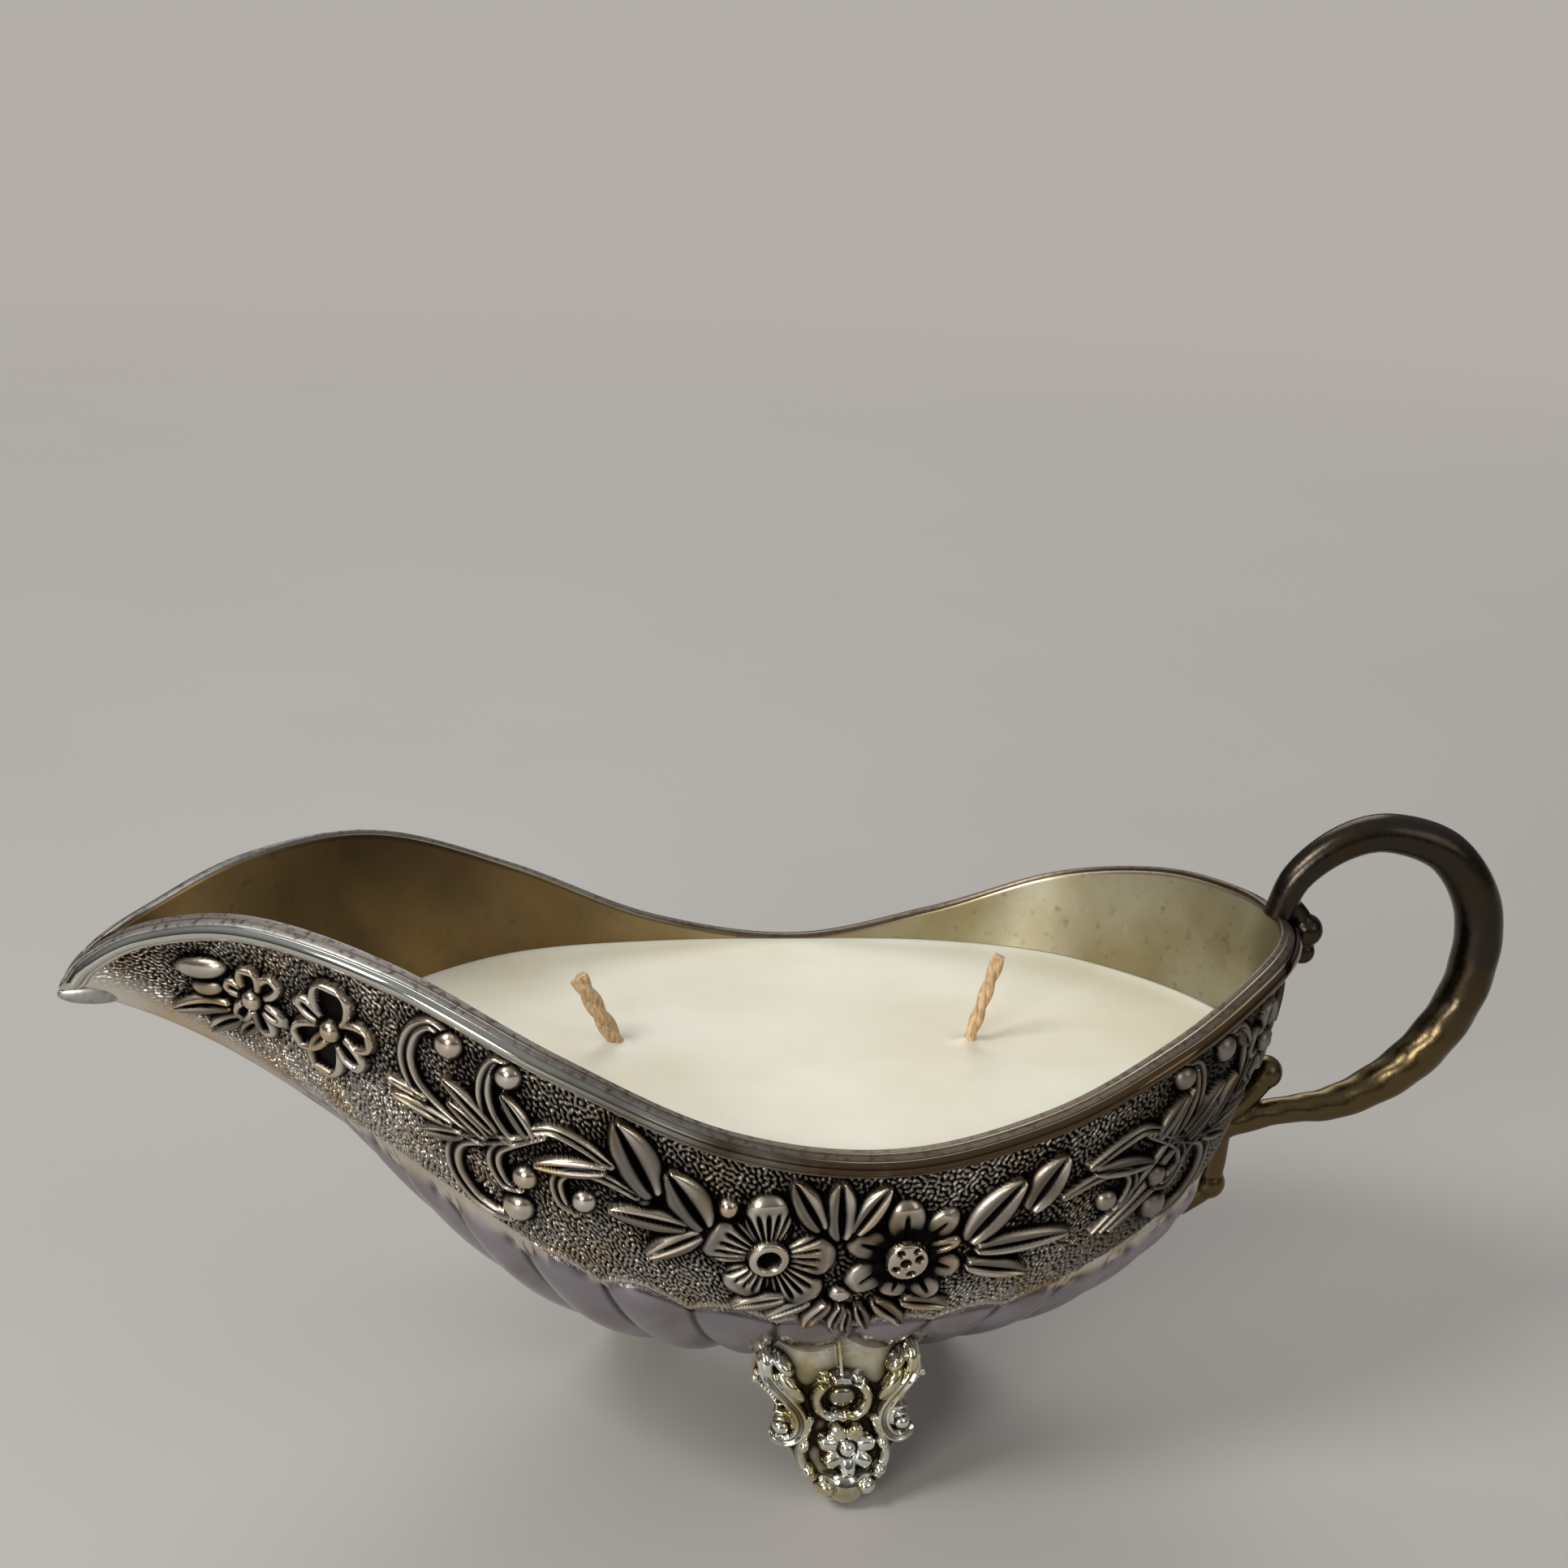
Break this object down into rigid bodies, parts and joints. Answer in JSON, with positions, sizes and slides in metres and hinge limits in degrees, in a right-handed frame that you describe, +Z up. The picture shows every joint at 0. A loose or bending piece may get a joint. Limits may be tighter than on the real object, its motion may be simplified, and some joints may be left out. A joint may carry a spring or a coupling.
{
  "type": "sauce boat",
  "caption": "Footed silver sauce boat with a pointed spout, rope-twist loop handle, fluted underside and scroll feet, filled with wax and wicks as a table candle.",
  "frame": {"origin": "on the table, under the middle of the overall length and width", "axes": "+X from the spout towards the handle, +Y across the bowl towards the side with two feet, +Z up"},
  "size_m": [0.2268, 0.0914, 0.1012],
  "materials": {
    "antique_silver": "silver plate, darkened in the recesses",
    "bright_silver": "bright cast silver plate",
    "wax": "smooth ivory wax",
    "hemp": "twisted natural yarn",
    "tinplate": "pressed tinplate"
  },
  "bodies": {
    "root": {"hull": "antique_silver", "rim_moulding": "antique_silver", "handle": "antique_silver", "foot_near": "bright_silver", "foot_spout": "bright_silver", "foot_stern": "bright_silver", "wax_fill": "wax", "wick_spout": "hemp", "wick_stern": "hemp", "tab_spout": "tinplate", "tab_stern": "tinplate"}
  },
  "joints": []
}
